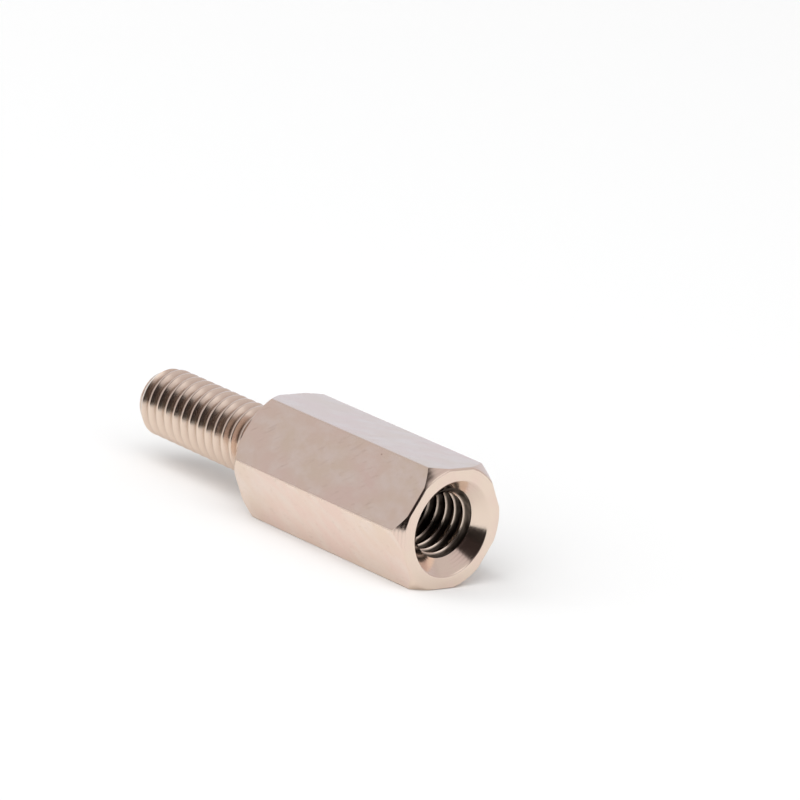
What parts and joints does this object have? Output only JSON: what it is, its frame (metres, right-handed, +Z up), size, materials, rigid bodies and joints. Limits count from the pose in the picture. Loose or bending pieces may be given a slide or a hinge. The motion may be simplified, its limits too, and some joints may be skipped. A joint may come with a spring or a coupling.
{
  "type": "hex standoff",
  "caption": "Male-female hex standoff lying on a flat: a hex body with a countersunk, tapped blind hole in one end and a threaded stud on the other, to space a board off a panel.",
  "frame": {"origin": "middle of the part's length and width, on the surface that it lies on", "axes": "+X along the turning axis, out of the tapped end; +Z up, square to the flat that it lies on"},
  "size_m": [0.0176, 0.0056, 0.0049],
  "materials": {
    "nickel_plated_brass": "bright nickel plate"
  },
  "bodies": {
    "root": {"hex_standoff": "nickel_plated_brass"}
  },
  "joints": []
}
